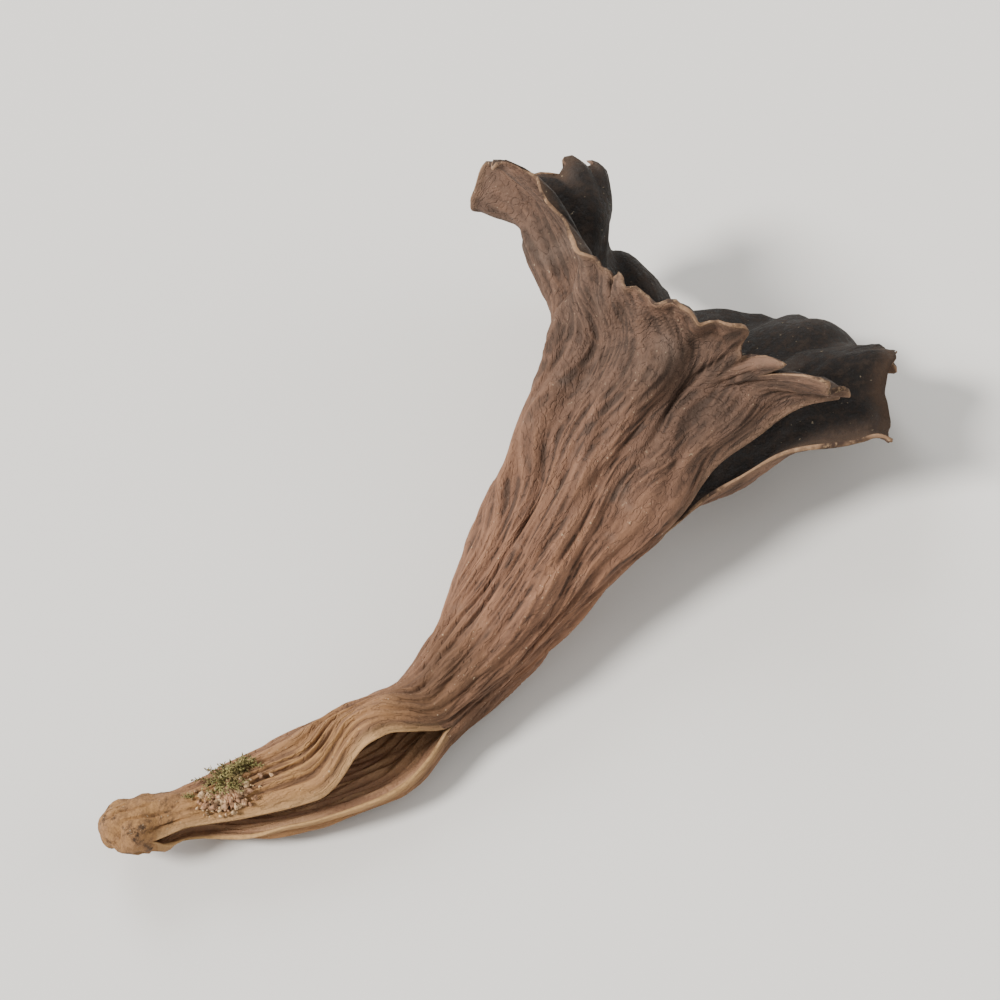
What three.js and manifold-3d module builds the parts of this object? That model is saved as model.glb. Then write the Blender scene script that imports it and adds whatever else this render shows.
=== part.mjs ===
// A dried black trumpet mushroom lying on its side: one grown piece. Its hollow stem is split open along
// its length and bends into a fluted trumpet with a torn, waved and rolled lip.
// Millimetres, +Z up. The foot points to -X and the mouth to +X. The surface it lies on is z = 0.

import * as THREE from 'three';
import Module from 'manifold-3d';

// Thickness of the dried flesh
const WALL = 0.7;

// The mesh: columns round the tube, rows in the rounded foot, and rows from there to the lip
const AROUND = 80;
const FOOT_ROWS = 3;
const TUBE_ROWS = 28;
const FOOT_END = 0.048;

// The tube's rings. Each row: how far up the wall it lies (0 the foot, 1 the lip), its centre x, y and z,
// its yaw and pitch in degrees, half its width and half its height.
const RINGS = [
  [0.000, -21.0, 4.70, 1.20, -30, -8, 0.00, 0.00],
  [0.010, -20.9, 4.65, 1.20, -30, -8, 0.52, 0.48],
  [0.026, -20.5, 4.45, 1.20, -28, -6, 0.98, 0.86],
  [0.048, -19.6, 3.98, 1.22, -27, -3, 1.22, 1.02],
  [0.085, -17.7, 3.10, 1.30, -24, 0, 1.12, 0.98],
  [0.140, -15.2, 2.10, 1.50, -19, 2, 1.52, 1.15],
  [0.210, -12.0, 1.10, 1.80, -14, 3, 2.05, 1.45],
  [0.290, -8.4, 0.40, 2.15, -4, 5, 2.15, 1.60],
  [0.350, -5.7, 0.35, 2.45, 8, 8, 1.80, 1.50],
  [0.430, -2.2, 1.00, 3.00, 16, 11, 2.30, 1.75],
  [0.530, 2.3, 2.40, 3.95, 19, 14, 3.15, 2.15],
  [0.630, 6.7, 3.95, 5.15, 20, 17, 4.15, 2.70],
  [0.730, 10.6, 5.35, 6.45, 20, 21, 5.30, 3.40],
  [0.820, 13.7, 6.45, 7.70, 20, 26, 6.90, 4.40],
  [0.900, 15.9, 7.20, 8.75, 20, 31, 8.80, 5.90],
  [0.960, 16.9, 7.55, 9.30, 20, 35, 10.5, 7.40],
  [1.000, 17.2, 7.65, 9.40, 20, 37, 11.8, 8.60],
  [1.120, 16.6, 7.45, 8.90, 20, 38, 15.4, 12.0],
];

// Long inward folds of the trumpet: the angle where each starts and ends, how far up the wall it starts
// and is full, its depth and its half width.
const FOLDS = [
  [52, 58, 0.36, 0.60, 1.15, 1.25],
  [122, 114, 0.44, 0.85, 1.30, 1.30],
  [222, 226, 0.36, 0.80, 1.45, 1.35],
  [262, 262, 0.62, 0.94, 0.85, 1.25],
  [298, 294, 0.45, 0.90, 1.20, 1.30],
  [342, 337, 0.40, 0.85, 1.45, 1.45],
  [16, 14, 0.55, 0.92, 0.85, 1.25],
];

// Waves of the lip: count round the rim, phase in degrees, height, and how far up the wall they start
const WAVES = [
  [3, 320, 1.40, 0.70],
  [5, 164, 1.40, 0.74],
  [8, 95, 0.85, 0.79],
  [13, 126, 0.38, 0.84],
  [21, 7, 0.14, 0.90],
];

// How far the lip rolls outward: count round the rim, phase in degrees, distance
const ROLLS = [
  [0, 90, 0.55],
  [2, 190, 0.75],
  [5, 26, 0.55],
  [7, 166, 0.35],
];

// The rim's outline: count round the rim, phase in degrees, share of the wall's length
const LOBES = [
  [1, 165, 0.075],
  [2, 35, 0.026],
  [3, 110, 0.026],
  [5, 10, 0.024],
  [9, 250, 0.015],
  [17, 40, 0.009],
  [31, 200, 0.006],
];

// The seam where the flesh has split: its angle along the stem and along the tear of the lip, in degrees
const SLIT_ANGLE = 150;
const TEAR_ANGLE = 170;

// Beside the tear the lip's waves are lower: by this share, at this angle, over this half width in radians
const CALM = [0.5, 218, 0.4];

// Below, the lip was pressed up where it dried: distance, angle and half width in radians
const PRESS = [1.8, 265, 0.35];

// How it lies: turned about X and then about Y, in degrees, and then moved. The flats where it touches
// the surface are cut at z = 0.
const ROLL = 9.09;
const PITCH = 2.78;
const MOVE = [-2.33, -6.46, -0.69];

const TAU = 2 * Math.PI;
const rad = THREE.MathUtils.degToRad;
const clamp = THREE.MathUtils.clamp;

// Rises smoothly from 0 at low to 1 at high
function smooth(low, high, x) {
  const t = clamp((x - low) / (high - low), 0, 1);
  return t * t * (3 - 2 * t);
}

// A bell of height 1 and the given half width
function hill(x, width) {
  return Math.exp(-((x / width) ** 2));
}

// An angle difference, wrapped to between half a turn each way
function turn(a) {
  return THREE.MathUtils.euclideanModulo(a + Math.PI, TAU) - Math.PI;
}

// Tangents at the rings for one column of the table: the slopes beside each ring, weighted by distance
function tangents(column) {
  const slope = [];
  for (let k = 0; k + 1 < RINGS.length; k++) {
    slope.push((RINGS[k + 1][column] - RINGS[k][column]) / (RINGS[k + 1][0] - RINGS[k][0]));
  }
  return RINGS.map((row, k) => {
    if (k === 0) return slope[0];
    if (k === RINGS.length - 1) return slope[k - 1];
    const before = RINGS[k][0] - RINGS[k - 1][0];
    const after = RINGS[k + 1][0] - RINGS[k][0];
    return (slope[k - 1] * after + slope[k] * before) / (before + after);
  });
}
const TANGENTS = RINGS[0].map((_, column) => (column === 0 ? null : tangents(column)));

// A column of the ring table at any height up the wall, by a smooth curve through the rings
function ring(w, column) {
  let k = 0;
  while (k < RINGS.length - 2 && w >= RINGS[k + 1][0]) k++;
  const span = RINGS[k + 1][0] - RINGS[k][0];
  const t = (w - RINGS[k][0]) / span;
  const t2 = t * t;
  const t3 = t2 * t;
  return (2 * t3 - 3 * t2 + 1) * RINGS[k][column]
    + (t3 - 2 * t2 + t) * span * TANGENTS[column][k]
    + (-2 * t3 + 3 * t2) * RINGS[k + 1][column]
    + (t3 - t2) * span * TANGENTS[column][k + 1];
}

// How far the seam gapes above and below its line, in radians: the slit of the stem, widest near the foot
// and before the bend, and the tear of the lip
function gap(v) {
  const slit = smooth(0.050, 0.085, v) * (1 - smooth(0.315, 0.350, v));
  const low = smooth(0.052, 0.080, v) * (1 - smooth(0.10, 0.17, v));
  const wide = smooth(0.20, 0.265, v) * (1 - smooth(0.285, 0.345, v));
  const tear = 0.35 * smooth(0.600, 0.66, v) + 0.65 * smooth(0.62, 1.0, v);
  return {
    upper: 0.26 * slit + 0.62 * wide + 0.18 * tear,
    lower: 0.30 * slit + 1.0 * low + 0.24 * tear,
  };
}

// How far up the wall the lip lies at an angle
function rim(angle) {
  return LOBES.reduce((sum, [n, phase, size]) => sum + size * Math.sin(n * angle + rad(phase)), 0.985);
}

// One point of the wall's middle surface. u runs round from one edge of the seam to the other, and v from
// the foot to the lip. The plain point has no folds, dents or crumples.
function place(u, v) {
  const { upper, lower } = gap(v);
  const seam = rad(SLIT_ANGLE + (TEAR_ANGLE - SLIT_ANGLE) * smooth(0.30, 0.62, v));
  const angle = seam + lower + u * (TAU - upper - lower);
  const w = v * (1 + (rim(angle) - 1) * smooth(0.45, 1, v));
  const wide = ring(w, 6);
  const high = ring(w, 7);
  const size = Math.max(Math.sqrt(Math.max(wide * high, 0)), 0.05);
  const yaw = rad(ring(w, 4));
  const pitch = rad(ring(w, 5));
  const ahead = new THREE.Vector3(Math.cos(pitch) * Math.cos(yaw), Math.cos(pitch) * Math.sin(yaw), Math.sin(pitch));
  const side = new THREE.Vector3(-Math.sin(yaw), Math.cos(yaw), 0);
  const up = new THREE.Vector3().crossVectors(ahead, side);

  let radial = 0;
  const room = clamp((size - 1.2) / 2.2, 0, 1) * (1 - 0.6 * smooth(0.80, 0.98, w));
  for (const [start, end, low, full, depth, width] of FOLDS) {
    const where = rad(start + (end - start) * smooth(low, full, w));
    const across = turn(angle - where) * size;
    radial -= depth * room * smooth(low, full, w) * hill(across, width * (0.7 + 0.3 * size / 3));
  }
  // Slow dents
  radial += smooth(0.02, 0.3, w) * size * (
    0.07 * Math.sin(2 * angle + 9 * w + 1)
    + 0.06 * Math.sin(3 * angle - 14 * w + 2.2)
    + 0.035 * Math.sin(4 * angle + 25 * w + 0.6)
    + 0.02 * Math.sin(6 * angle - 31 * w + 4)
  );
  // The torn edges: one curls out, the other in, and a small flap stands up on the slit
  const fromLow = u * TAU * size;
  const fromHigh = (1 - u) * TAU * size;
  const curlLow = hill(fromLow, 2.5);
  const curlHigh = hill(fromHigh, 2.0);
  const slit = smooth(0.06, 0.12, v) * (1 - smooth(0.27, 0.34, v));
  radial += smooth(0.66, 1, v) * (curlLow - 0.75 * curlHigh) + slit * (0.25 * curlLow + 0.15 * curlHigh);
  radial += 0.55 * hill(w - 0.272, 0.016) * hill(fromHigh, 0.9);
  // Crumples
  radial += smooth(0.10, 0.35, w) * (1 - 0.4 * smooth(0.8, 1, w)) * size * (
    0.030 * Math.sin(5 * angle + 2 * Math.sin(2 * angle + 9 * w)) * Math.sin(44 * w + 2 * Math.sin(3 * angle + 1))
    + 0.022 * Math.sin(7 * angle - 21 * w + 1.6 * Math.sin(17 * w + angle))
  );

  const centre = new THREE.Vector3(ring(w, 1), ring(w, 2), ring(w, 3));
  const at = (extra) => centre.clone()
    .addScaledVector(side, (wide + extra * wide / size) * Math.cos(angle))
    .addScaledVector(up, (high + extra * high / size) * Math.sin(angle));
  const near = (hill(fromLow, 0.9) + hill(fromHigh, 0.9)) * (1 - smooth(0.66, 0.8, v));
  return { plain: at(0), point: at(radial), angle, w, v, size, near: clamp(near, 0, 1), shut: upper + lower < 1e-6 };
}

// How far the lip's waves and rolls move the wall along its plain normal
function waves(angle, w, v) {
  let h = 0;
  for (const [n, phase, size] of ROLLS) {
    h += size * smooth(0.84, 1.0, v) ** 2 * Math.sin(n * angle + rad(phase));
  }
  for (const [n, phase, size, start] of WAVES) {
    h += size * smooth(start, 1.02, w) * Math.sin(n * angle + rad(phase) + 1.3 * Math.sin(angle + n));
  }
  h *= 1 - CALM[0] * hill(turn(angle - rad(CALM[1])), CALM[2]);
  return h - PRESS[0] * smooth(0.78, 1.0, v) * hill(turn(angle - rad(PRESS[1])), PRESS[2]);
}

// Long ribs that wander and fork along the outside
function ribs(angle, w) {
  const strength = smooth(0.05, 0.16, w) * (1 - 0.45 * smooth(0.80, 1.0, w));
  const wander = 1.7 * Math.sin(3 * angle + 7 * w) + 1.2 * Math.sin(5 * angle - 16 * w + 2)
    + 0.8 * Math.sin(2 * angle + 29 * w);
  const first = Math.sin(17 * angle + wander);
  const second = Math.sin(11 * angle - 1.6 * wander + 6 * w + 1);
  return strength * (0.11 * first + 0.07 * second - 0.05 * Math.abs(first));
}

// The neighbours of a grid point along one way
function beside(grid, i, j, along) {
  const last = along ? grid[0].length - 1 : grid.length - 1;
  const here = along ? j : i;
  const before = Math.max(here - 1, 0);
  const after = Math.min(here + 1, last);
  return along
    ? [grid[i][before], grid[i][after], after - before]
    : [grid[before][j], grid[after][j], after - before];
}

// Difference of a grid of vectors along one way, for one step
function slope(grid, i, j, along) {
  const [a, b, steps] = beside(grid, i, j, along);
  return new THREE.Vector3().subVectors(b, a).divideScalar(steps);
}

// Outward normals of a grid of points
function normals(grid) {
  return grid.map((column, i) => column.map((_, j) => {
    const n = new THREE.Vector3().crossVectors(slope(grid, i, j, false), slope(grid, i, j, true));
    return n.divideScalar(Math.max(n.length(), 1e-9));
  }));
}

// Each point takes half of its own value and half of the least one beside it
function spread(values) {
  return values.map((column, i) => column.map((own, j) => {
    let least = own;
    if (i > 0) least = Math.min(least, values[i - 1][j]);
    if (i < values.length - 1) least = Math.min(least, values[i + 1][j]);
    if (j > 0) least = Math.min(least, column[j - 1]);
    if (j < column.length - 1) least = Math.min(least, column[j + 1]);
    return 0.5 * own + 0.5 * least;
  }));
}

// How far the outer or inner face lies from the middle surface: half the wall, and less in a sharp bend
function offset(points, normal, outward) {
  let h = points.map((column, i) => column.map((_, j) => {
    let bend = 1e-6;
    for (const along of [false, true]) {
      const dp = slope(points, i, j, along);
      const k = dp.dot(slope(normal, i, j, along)) / Math.max(dp.lengthSq(), 0.01);
      bend = Math.max(bend, outward ? -k : k);
    }
    return Math.min(WALL / 2, 0.7 / bend);
  }));
  h = spread(h);
  return spread(h);
}

// The rows up the wall: close together round the foot, then even to the lip
const rows = [];
for (let k = 0; k < FOOT_ROWS; k++) rows.push(FOOT_END * (k / FOOT_ROWS) ** 1.4);
for (let k = 0; k <= TUBE_ROWS; k++) rows.push(FOOT_END + (1 - FOOT_END) * k / TUBE_ROWS);
const HOLLOW_FROM = FOOT_ROWS - 1;

const grid = [];
for (let i = 0; i <= AROUND; i++) grid.push(rows.map((v) => place(i / AROUND, v)));

const plain = normals(grid.map((column) => column.map((g) => g.plain)));
const middle = grid.map((column, i) => column.map((g, j) => (
  g.point.clone().addScaledVector(plain[i][j], waves(g.angle, g.w, g.v))
)));
const normal = normals(middle).map((column, i) => column.map((n, j) => n.lerp(plain[i][j], grid[i][j].near)));
rows.forEach((_, j) => {
  if (grid[0][j].shut) {
    normal[0][j].add(normal[AROUND][j]);
    normal[AROUND][j].copy(normal[0][j]);
  }
});
normal.forEach((column) => column.forEach((n) => n.divideScalar(Math.max(n.length(), 1e-9))));

const outward = offset(middle, normal, true);
const inward = offset(middle, normal, false);

// The closed skin: outer face, inner face, the rim between them and the edges of the slit and the tear
const positions = [];
const indices = [];
function add(p) {
  positions.push(p.x, p.y, p.z);
  return positions.length / 3 - 1;
}
const outer = middle.map((column, i) => column.map((p, j) => {
  const thin = (2 * outward[i][j] / WALL) ** 2;
  const rib = ribs(grid[i][j].angle, grid[i][j].w) * thin;
  return add(p.clone().addScaledVector(normal[i][j], outward[i][j] + rib));
}));
const inner = middle.map((column, i) => column.map((p, j) => (
  j < HOLLOW_FROM ? null : add(p.clone().addScaledVector(normal[i][j], -inward[i][j]))
)));
rows.forEach((_, j) => {
  if (grid[0][j].shut) {
    outer[AROUND][j] = outer[0][j];
    inner[AROUND][j] = inner[0][j];
  }
});
const foot = new THREE.Vector3();
const bottom = new THREE.Vector3();
for (let i = 0; i < AROUND; i++) {
  foot.addScaledVector(middle[i][0], 1 / AROUND);
  bottom.addScaledVector(middle[i][HOLLOW_FROM], 1 / AROUND);
}
const footTip = add(foot);
const hollowTip = add(bottom);
for (let i = 0; i <= AROUND; i++) {
  outer[i][0] = footTip;
  inner[i][HOLLOW_FROM] = hollowTip;
}
function quad(a, b, c, d) {
  for (const [p, q, r] of [[a, b, c], [a, c, d]]) {
    if (p !== q && q !== r && p !== r) indices.push(p, q, r);
  }
}
const last = rows.length - 1;
for (let i = 0; i < AROUND; i++) {
  for (let j = 0; j < last; j++) {
    quad(outer[i][j], outer[i + 1][j], outer[i + 1][j + 1], outer[i][j + 1]);
    if (j >= HOLLOW_FROM) quad(inner[i][j], inner[i][j + 1], inner[i + 1][j + 1], inner[i + 1][j]);
  }
  quad(outer[i][last], outer[i + 1][last], inner[i + 1][last], inner[i][last]);
}
for (let j = HOLLOW_FROM; j < last; j++) {
  if (grid[0][j].shut && grid[0][j + 1].shut) continue;
  quad(outer[0][j], outer[0][j + 1], inner[0][j + 1], inner[0][j]);
  quad(outer[AROUND][j], inner[AROUND][j], inner[AROUND][j + 1], outer[AROUND][j + 1]);
}

let skin = new THREE.BufferGeometry();
skin.setAttribute('position', new THREE.Float32BufferAttribute(positions, 3));
skin.setIndex(indices);
skin.rotateX(rad(ROLL));
skin.rotateY(rad(PITCH));
skin.translate(...MOVE);

// Drops the points that no face uses
function packed(geometry) {
  const old = geometry.getAttribute('position').array;
  const index = geometry.getIndex().array;
  const renamed = new Map();
  const points = [];
  const faces = [];
  for (const k of index) {
    if (!renamed.has(k)) {
      renamed.set(k, points.length / 3);
      points.push(old[3 * k], old[3 * k + 1], old[3 * k + 2]);
    }
    faces.push(renamed.get(k));
  }
  return { points: new Float32Array(points), faces: new Uint32Array(faces) };
}

// The flats it rests on: whatever reaches below the surface is cut away
const wasm = await Module();
wasm.setup();
function solid(points, faces) {
  return new wasm.Manifold(new wasm.Mesh({ numProp: 3, vertProperties: points, triVerts: faces }));
}
const skinParts = packed(skin);
const corners = [];
for (const x of [-40, 40]) for (const y of [-30, 30]) for (const z of [-10, 0]) corners.push(x, y, z);
const sides = [0, 1, 3, 0, 3, 2, 4, 6, 7, 4, 7, 5, 0, 4, 5, 0, 5, 1, 2, 3, 7, 2, 7, 6, 0, 2, 6, 0, 6, 4, 1, 5, 7, 1, 7, 3];
const below = solid(new Float32Array(corners), new Uint32Array(sides));
const resting = solid(skinParts.points, skinParts.faces).subtract(below).getMesh();

const geometry = new THREE.BufferGeometry();
geometry.setAttribute('position', new THREE.Float32BufferAttribute(Array.from(resting.vertProperties), 3));
geometry.setIndex(Array.from(resting.triVerts));
geometry.computeVertexNormals();

const flesh = new THREE.MeshStandardMaterial({ color: 0x6f5a4c, roughness: 0.85, metalness: 0 });
const mushroom = new THREE.Mesh(geometry, flesh);
mushroom.name = 'mushroom';

const part = new THREE.Group();
part.add(mushroom);
export default part;
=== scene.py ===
"""A dried black trumpet mushroom lying on its side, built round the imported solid.

The mushroom is one wall of flesh bent into a torn tube. A grid is laid on it: u runs round from one edge
of the split to the other, v from the foot to the lip. Each ring of the tube has a centre, a heading, a
width and a height, taken from a short table by a smooth curve. A ring point lies at its angle on that
ellipse, moved in and out by long folds, slow dents and crumples. The rim's outline sets how far each
angle runs on, and waves and rolls then move the lip along the plain tube's normal.

The outer face stands half the wall out from this middle surface, with broad ribs, a fine net of ribs and
pits, and creases. The lining lies half the wall in, on every second column and row, with long wrinkles. A
rounded edge joins them round the lip, the tear and the slit of the stem. The whole is turned to its rest
pose and moved into the part's frame. Moss and pale crumbs of earth are stuck on the stem above the foot.

Lengths in the shape code are millimetres, and the mesh is in metres. Angles round the tube start at its
left side, seen from the foot, and come to its upper side at a quarter turn.
"""

import math

import bpy
import numpy as np
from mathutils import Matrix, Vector


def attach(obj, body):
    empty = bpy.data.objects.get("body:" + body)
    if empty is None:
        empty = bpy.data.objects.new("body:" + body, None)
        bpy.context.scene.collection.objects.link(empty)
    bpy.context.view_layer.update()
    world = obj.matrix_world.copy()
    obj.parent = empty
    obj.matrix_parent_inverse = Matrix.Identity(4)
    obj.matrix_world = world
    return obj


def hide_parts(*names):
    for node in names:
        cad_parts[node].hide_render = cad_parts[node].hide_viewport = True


MM = 0.001
MM_PER_METRE = 1000.0
TAU = 2 * np.pi
GOLDEN_ANGLE = 2.39996

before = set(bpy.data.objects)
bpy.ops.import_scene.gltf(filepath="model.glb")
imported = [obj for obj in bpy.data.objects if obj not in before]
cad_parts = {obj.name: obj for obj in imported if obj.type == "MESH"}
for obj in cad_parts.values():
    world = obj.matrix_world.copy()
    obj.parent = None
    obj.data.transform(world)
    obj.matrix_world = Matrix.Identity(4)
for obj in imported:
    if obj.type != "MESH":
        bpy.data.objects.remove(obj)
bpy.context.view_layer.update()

# How fine the mesh is: columns round the tube, rows in the rounded foot, rows from there to the lip.
# The lining has every second column and row of them, and starts in the foot at HOLLOW_ROW.
AROUND = 400
FOOT_ROWS = 13
TUBE_ROWS = 181
HOLLOW_ROW = 10
FOOT_END = 0.048

# Thickness of the dried flesh, how much of it is left at a torn edge, and over what width it thins
WALL = 0.52
EDGE_SHARE = 0.32
EDGE_WIDTH = 1.3
# How far the broken edges bulge past the wall's middle, at the lip and along the split
LIP_BULGE = 0.05
SPLIT_BULGE = 0.06
# The share kept of the solid's broad ribs, the depth of the net's pits, and a full wrinkle's height
RIB_SHARE = 0.85
PIT_DEPTH = 0.08
WRINKLE_FULL = 0.24
# The mushroom's length, along which the skin's grain is laid
LENGTH = 47.0

# Rings of the tube. Each row: how far up the wall the ring lies, its centre x, y, z, its yaw and pitch in
# degrees, its half width and half height.
RINGS = np.array([
    [0.000, -21.0, 4.70, 1.20, -30, -8, 0.00, 0.00],
    [0.010, -20.9, 4.65, 1.20, -30, -8, 0.52, 0.48],
    [0.026, -20.5, 4.45, 1.20, -28, -6, 0.98, 0.86],
    [0.048, -19.6, 3.98, 1.22, -27, -3, 1.22, 1.02],
    [0.085, -17.7, 3.10, 1.30, -24, 0, 1.12, 0.98],
    [0.140, -15.2, 2.10, 1.50, -19, 2, 1.52, 1.15],
    [0.210, -12.0, 1.10, 1.80, -14, 3, 2.05, 1.45],
    [0.290, -8.4, 0.40, 2.15, -4, 5, 2.15, 1.60],
    [0.350, -5.7, 0.35, 2.45, 8, 8, 1.80, 1.50],
    [0.430, -2.2, 1.00, 3.00, 16, 11, 2.30, 1.75],
    [0.530, 2.3, 2.40, 3.95, 19, 14, 3.15, 2.15],
    [0.630, 6.7, 3.95, 5.15, 20, 17, 4.15, 2.70],
    [0.730, 10.6, 5.35, 6.45, 20, 21, 5.30, 3.40],
    [0.820, 13.7, 6.45, 7.70, 20, 26, 6.90, 4.40],
    [0.900, 15.9, 7.20, 8.75, 20, 31, 8.80, 5.90],
    [0.960, 16.9, 7.55, 9.30, 20, 35, 10.5, 7.40],
    [1.000, 17.2, 7.65, 9.40, 20, 37, 11.8, 8.60],
    [1.120, 16.6, 7.45, 8.90, 20, 38, 15.4, 12.0],
])
RING_X, RING_Y, RING_Z, RING_YAW, RING_PITCH, RING_WIDE, RING_HIGH = range(1, 8)
# Long inward folds: start and end angle, start and full height up the wall, depth, half width
FOLDS = (
    (52, 58, 0.36, 0.60, 1.15, 1.25),
    (122, 114, 0.44, 0.85, 1.30, 1.30),
    (222, 226, 0.36, 0.80, 1.45, 1.35),
    (262, 262, 0.62, 0.94, 0.85, 1.25),
    (298, 294, 0.45, 0.90, 1.20, 1.30),
    (342, 337, 0.40, 0.85, 1.45, 1.45),
    (16, 14, 0.55, 0.92, 0.85, 1.25),
)
# Slow dents: share of the ring's size, count round the tube, winding up the wall, phase in radians
DENTS = (
    (0.07, 2, 9, 1),
    (0.06, 3, -14, 2.2),
    (0.035, 4, 25, 0.6),
    (0.02, 6, -31, 4),
)
# Waves of the lip: count round the rim, phase in degrees, height, how far up the wall they start
WAVES = (
    (3, 320, 1.40, 0.70),
    (5, 164, 1.40, 0.74),
    (8, 95, 0.85, 0.79),
    (13, 126, 0.38, 0.84),
    (21, 7, 0.14, 0.90),
)
# Fine crinkles of the lip, the same way
CRINKLES = (
    (31, 50, 0.13, 0.915),
    (53, 200, 0.07, 0.945),
)
# How far the lip rolls outward: count round the rim, phase in degrees, distance
ROLLS = (
    (0, 90, 0.55),
    (2, 190, 0.75),
    (5, 26, 0.55),
    (7, 166, 0.35),
)
# The rim's outline: count round the rim, phase in degrees, share of the wall's length
LOBES = (
    (1, 165, 0.075),
    (2, 35, 0.026),
    (3, 110, 0.026),
    (5, 10, 0.024),
    (9, 250, 0.015),
    (17, 40, 0.008),
)
# Small ragged teeth on the torn rim, the same way
TEETH = (
    (31, 200, 0.0040),
    (37, 80, 0.0024),
    (58, 10, 0.0018),
    (83, 300, 0.0014),
)
# Short splits and bites in the rim: angle, share of the wall's length, half width in radians
NICKS = (
    (28, 0.030, 0.045),
    (63, 0.046, 0.028),
    (99, 0.026, 0.060),
    (131, 0.040, 0.030),
    (214, 0.034, 0.034),
    (243, 0.022, 0.050),
    (281, 0.046, 0.030),
    (304, 0.024, 0.050),
    (338, 0.038, 0.036),
)
# The split's place in degrees, at the stem's slit and at the lip's tear, and its least gap in radians
SLIT_ANGLE = 150.0
TEAR_ANGLE = 170.0
LEAST_GAP = 1e-6
# Beside the tear the waves are lower: share, angle, half width in radians
CALM = (0.5, 218, 0.4)
# Below, the lip was pressed up where it dried: distance, angle, half width in radians
PRESS = (1.8, 265, 0.35)
# The rest pose: turned about X, then about Y, in degrees, then moved
ROLL = 9.09
PITCH = 2.78
MOVE = (-2.33, -6.46, -0.69)
# Flesh nearer than this to the surface it dried on is squeezed flat against it
SQUEEZE = 0.12


def smooth(low, high, x):
    """0 up to low, 1 from high on, and the curve 3tt - 2ttt from one to the other."""
    t = np.clip((x - low) / (high - low), 0, 1)
    return t * t * (3 - 2 * t)


def hill(x, width):
    """A bell, 1 at x = 0 and down to 1/e at the width."""
    return np.exp(-((x / width) ** 2))


def turn(a):
    """The same angle between minus half a turn and half a turn."""
    return (a + np.pi) % TAU - np.pi


def unit(vectors):
    """Vectors divided by their lengths."""
    return vectors / np.maximum(np.linalg.norm(vectors, axis=-1, keepdims=True), 1e-9)


def ring(w, column):
    """A column of the ring table at height w up the wall, by a smooth cubic curve through the rings.

    The slope at a ring is the mean of the slopes on both sides, weighted by the length of the other side.
    """
    knots, values = RINGS[:, 0], RINGS[:, column]
    span = np.diff(knots)
    slope = np.diff(values) / span
    tangent = np.empty_like(values)
    tangent[1:-1] = (slope[:-1] * span[1:] + slope[1:] * span[:-1]) / (knots[2:] - knots[:-2])
    tangent[0], tangent[-1] = slope[0], slope[-1]
    k = np.clip(np.searchsorted(knots, w, side="right") - 1, 0, len(knots) - 2)
    t = (w - knots[k]) / span[k]
    t2, t3 = t * t, t * t * t
    return (
        (2 * t3 - 3 * t2 + 1) * values[k]
        + (t3 - 2 * t2 + t) * span[k] * tangent[k]
        + (3 * t2 - 2 * t3) * values[k + 1]
        + (t3 - t2) * span[k] * tangent[k + 1]
    )


def centre_line(w):
    """The tube's centre at height w up the wall."""
    return np.stack([ring(w, RING_X), ring(w, RING_Y), ring(w, RING_Z)], -1)


def hills(angle, w, across, along, seed, comb=0.0):
    """Random hills on the wall, mostly from -1 to 1.

    Heights are drawn on a net of across by along places and joined by a cubic curve both ways. comb is added
    at every second column of the net and taken off between, which draws out even rows of hills. The net runs
    on a little past both ends of the wall.
    """
    table = np.random.default_rng(seed).uniform(-1, 1, (across, int(1.25 * along) + 8))
    table = table + comb * (-1.0) ** np.arange(across)[:, None]
    x = angle / TAU * across
    y = w * along + 2
    i, j = np.floor(x).astype(int), np.floor(y).astype(int)

    def shares(t):
        """What the four nearest places give to a point at t between the middle two."""
        return (
            (-t + 2 * t * t - t ** 3) / 2, (2 - 5 * t * t + 3 * t ** 3) / 2,
            (t + 4 * t * t - 3 * t ** 3) / 2, (t ** 3 - t * t) / 2,
        )

    total = 0
    for m, share_across in enumerate(shares(x - i)):
        for n, share_along in enumerate(shares(y - j)):
            row = np.clip(j + n - 1, 0, table.shape[1] - 1)
            total = total + share_across * share_along * table[(i + m - 1) % across, row]
    return total


def gap(v):
    """How far the split gapes above and below its line, in radians: the stem's slit and the lip's tear.

    The slit's lower edge gapes most near the foot and its upper edge near the elbow.
    """
    slit = smooth(0.050, 0.085, v) * (1 - smooth(0.315, 0.350, v))
    low = smooth(0.052, 0.080, v) * (1 - smooth(0.10, 0.17, v))
    wide = smooth(0.20, 0.265, v) * (1 - smooth(0.285, 0.345, v))
    tear = 0.35 * smooth(0.600, 0.66, v) + 0.65 * smooth(0.62, 1.0, v)
    return 0.26 * slit + 0.62 * wide + 0.18 * tear, 0.30 * slit + low + 0.24 * tear


def rim(angle, table, start):
    """start and one sine round the rim for each row of a table: count, phase in degrees, size."""
    for n, phase, size in table:
        start = start + size * np.sin(n * angle + np.radians(phase))
    return start


def reach(angle, v):
    """How much further than v the wall runs, as a share of v: lobes and teeth of the rim, less nicks."""
    bites = 0 * angle
    for where, share, width in NICKS:
        bites = bites + share * hill(turn(angle - np.radians(where)), width)
    at_rim = 1 + 0 * angle
    uneven = 0.8 + 0.9 * hills(angle, at_rim, 14, 1, 6)
    teeth = uneven * rim(angle, TEETH, 0) + 0.006 * hills(angle, at_rim, 61, 1, 5)
    lobes = rim(angle, LOBES, -0.015)
    return lobes * smooth(0.45, 1, v) + teeth * smooth(0.93, 1, v) - bites * smooth(0.86, 1, v)


def folded(angle, w, size):
    """How deep the long folds sink the wall: a bell across each, less deep where the tube is narrow."""
    sunk = 0 * angle
    room = np.clip((size - 1.2) / 2.2, 0, 1) * (1 - 0.6 * smooth(0.80, 0.98, w))
    for start, end, low, full, depth, width in FOLDS:
        where = np.radians(start + (end - start) * smooth(low, full, w))
        bell = hill(turn(angle - where) * size, width * (0.7 + 0.3 * size / 3))
        sunk = sunk + depth * room * smooth(low, full, w) * bell
    return sunk


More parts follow.
